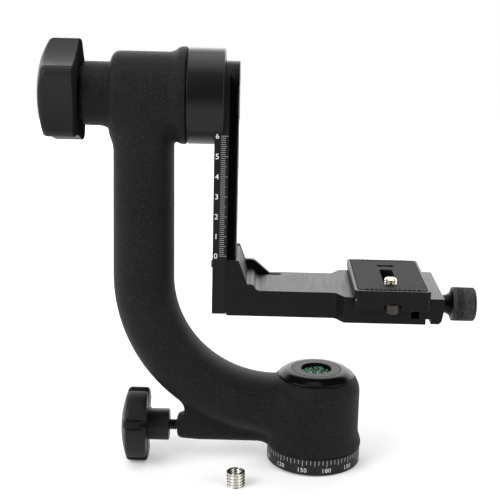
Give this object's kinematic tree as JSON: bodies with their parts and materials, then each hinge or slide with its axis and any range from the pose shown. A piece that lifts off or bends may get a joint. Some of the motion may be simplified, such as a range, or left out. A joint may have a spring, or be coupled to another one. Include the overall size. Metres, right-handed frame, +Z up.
{
  "type": "gimbal tripod head",
  "caption": "Gimbal head for long lenses: a C-shaped arm pans on a graduated base, and a drum on its top tilts a height rail, an L-shaped cradle and a quick-release clamp.",
  "frame": {"origin": "mouth of the tripod socket: bottom face of the base disc on the pan axis", "axes": "+Z up along the pan axis, +X from the column towards the clamp knob along the tilt axis, +Y away from the side that carries the height scale"},
  "size_m": [0.2224, 0.0736, 0.2206],
  "materials": {
    "arm_paint": "fine-grained matt black coating",
    "anodised_black": "satin black anodised",
    "anodised_matt": "matt black anodised, bead blasted",
    "knob_plastic": "satin moulded black",
    "bright_steel": "machined",
    "black_steel": "black oxide",
    "bearing_steel": "ground",
    "brass": "machined",
    "coppery_screw": "bronze coloured plating",
    "nylon": "natural",
    "pad_rubber": "matt, ribbed",
    "cap_metal": "satin black",
    "dial_metal": "satin, printed",
    "clear_plastic": "clear",
    "level_fluid": "clear green",
    "nickel": "nickel plated"
  },
  "bodies": {
    "base": {"base_plate": "anodised_black", "base_screws": "black_steel", "pan_spindle": "bright_steel", "pan_washer": "bright_steel", "pan_nut": "bright_steel"},
    "arm": {"arm_casting": "arm_paint", "pan_glide_ring": "nylon", "pan_bearing_lower": "bearing_steel", "pan_bearing_spacer": "bright_steel", "pan_bearing_upper": "bearing_steel", "level_cap": "cap_metal", "level_disc": "dial_metal", "level_vial": "clear_plastic", "level_liquid": "level_fluid", "level_bubble": "clear_plastic", "pan_lock_bush": "brass", "tilt_bearing_left": "bearing_steel", "tilt_bearing_spacer": "bright_steel", "tilt_bearing_right": "bearing_steel", "tilt_circlip": "black_steel", "tilt_friction_ring": "nylon"},
    "pan_brake": {"pan_brake_shoe": "nylon"},
    "pan_lock": {"pan_lock_knob": "knob_plastic", "pan_lock_screw": "bright_steel"},
    "tilt": {"tilt_drum": "anodised_black", "tilt_spindle": "bright_steel", "height_rail": "anodised_matt", "rail_screws": "black_steel", "rail_stop_screw": "bright_steel"},
    "tilt_thrust": {"tilt_thrust_washer": "nylon"},
    "tilt_lock": {"tilt_lock_knob": "knob_plastic", "tilt_knob_insert": "brass"},
    "cradle": {"cradle_bracket": "anodised_matt", "clamp_guide_pins": "bright_steel"},
    "height_washer": {"height_lock_washer": "nylon"},
    "height_lock": {"height_lock_knob": "anodised_black", "height_lock_screw": "bright_steel"},
    "jaw": {"clamp_jaw": "anodised_matt", "clamp_knob_washer": "bright_steel"},
    "jaw_knob": {"clamp_knob": "anodised_black", "clamp_screw": "bright_steel"},
    "plate": {"camera_plate": "anodised_black", "plate_pad": "pad_rubber", "plate_stop_screw": "coppery_screw"},
    "screw_carrier": {"camera_screw_washer": "black_steel"},
    "camera_stud": {"camera_screw": "bright_steel"},
    "adapter": {"thread_adapter": "nickel"}
  },
  "joints": [
    {"name": "pan", "type": "hinge", "parent": "base", "child": "arm", "pos_m": [0, 0, 0], "axis": [0, 0, 1], "continuous": true},
    {"name": "pan_brake_travel", "type": "slide", "parent": "arm", "child": "pan_brake", "axis": [-1, 0, 0], "range_m": [0, 0.002]},
    {"name": "pan_lock_turn", "type": "hinge", "parent": "pan_brake", "child": "pan_lock", "pos_m": [-0.05, 0, 0.01625], "axis": [-1, 0, 0], "range_deg": [0, 720]},
    {"name": "tilt", "type": "hinge", "parent": "arm", "child": "tilt", "pos_m": [-0.06, 0, 0.191], "axis": [1, 0, 0], "continuous": true},
    {"name": "tilt_thrust_travel", "type": "slide", "parent": "arm", "child": "tilt_thrust", "axis": [-1, 0, 0], "range_m": [0, 0.00125]},
    {"name": "tilt_lock_turn", "type": "hinge", "parent": "tilt_thrust", "child": "tilt_lock", "pos_m": [-0.13, 0, 0.191], "axis": [-1, 0, 0], "range_deg": [0, 360]},
    {"name": "cradle_height", "type": "slide", "parent": "tilt", "child": "cradle", "axis": [0, 0, 1], "range_m": [0, 0.06]},
    {"name": "height_washer_travel", "type": "slide", "parent": "cradle", "child": "height_washer", "axis": [0, 1, 0], "range_m": [0, 0.0012]},
    {"name": "height_lock_turn", "type": "hinge", "parent": "height_washer", "child": "height_lock", "pos_m": [-0.0381, 0.02, 0.0915], "axis": [0, 1, 0], "range_deg": [0, 540]},
    {"name": "jaw_travel", "type": "slide", "parent": "cradle", "child": "jaw", "axis": [1, 0, 0], "range_m": [0, 0.003]},
    {"name": "jaw_knob_turn", "type": "hinge", "parent": "jaw", "child": "jaw_knob", "pos_m": [0.07, 0, 0.087], "axis": [1, 0, 0], "range_deg": [0, 1350]},
    {"name": "plate_travel", "type": "slide", "parent": "cradle", "child": "plate", "axis": [0, -1, 0], "range_m": [0, 0.06]},
    {"name": "camera_screw_travel", "type": "slide", "parent": "plate", "child": "screw_carrier", "axis": [0, 1, 0], "range_m": [0, 0.021]},
    {"name": "camera_screw_turn", "type": "hinge", "parent": "screw_carrier", "child": "camera_stud", "pos_m": [0.0345, -0.0153, 0.1], "axis": [0, 0, 1], "continuous": true},
    {"name": "adapter_lift", "type": "slide", "parent": "base", "child": "adapter", "axis": [0, 0, 1], "range_m": [0, 0.05]}
  ],
  "couplings": [
    {"joint": "pan_brake_travel", "follows": "pan_lock_turn", "m_per_rad": 0.000159},
    {"joint": "tilt_thrust_travel", "follows": "tilt_lock_turn", "m_per_rad": 0.0001989},
    {"joint": "height_washer_travel", "follows": "height_lock_turn", "m_per_rad": 0.0001273},
    {"joint": "jaw_travel", "follows": "jaw_knob_turn", "m_per_rad": 0.0001273}
  ]
}
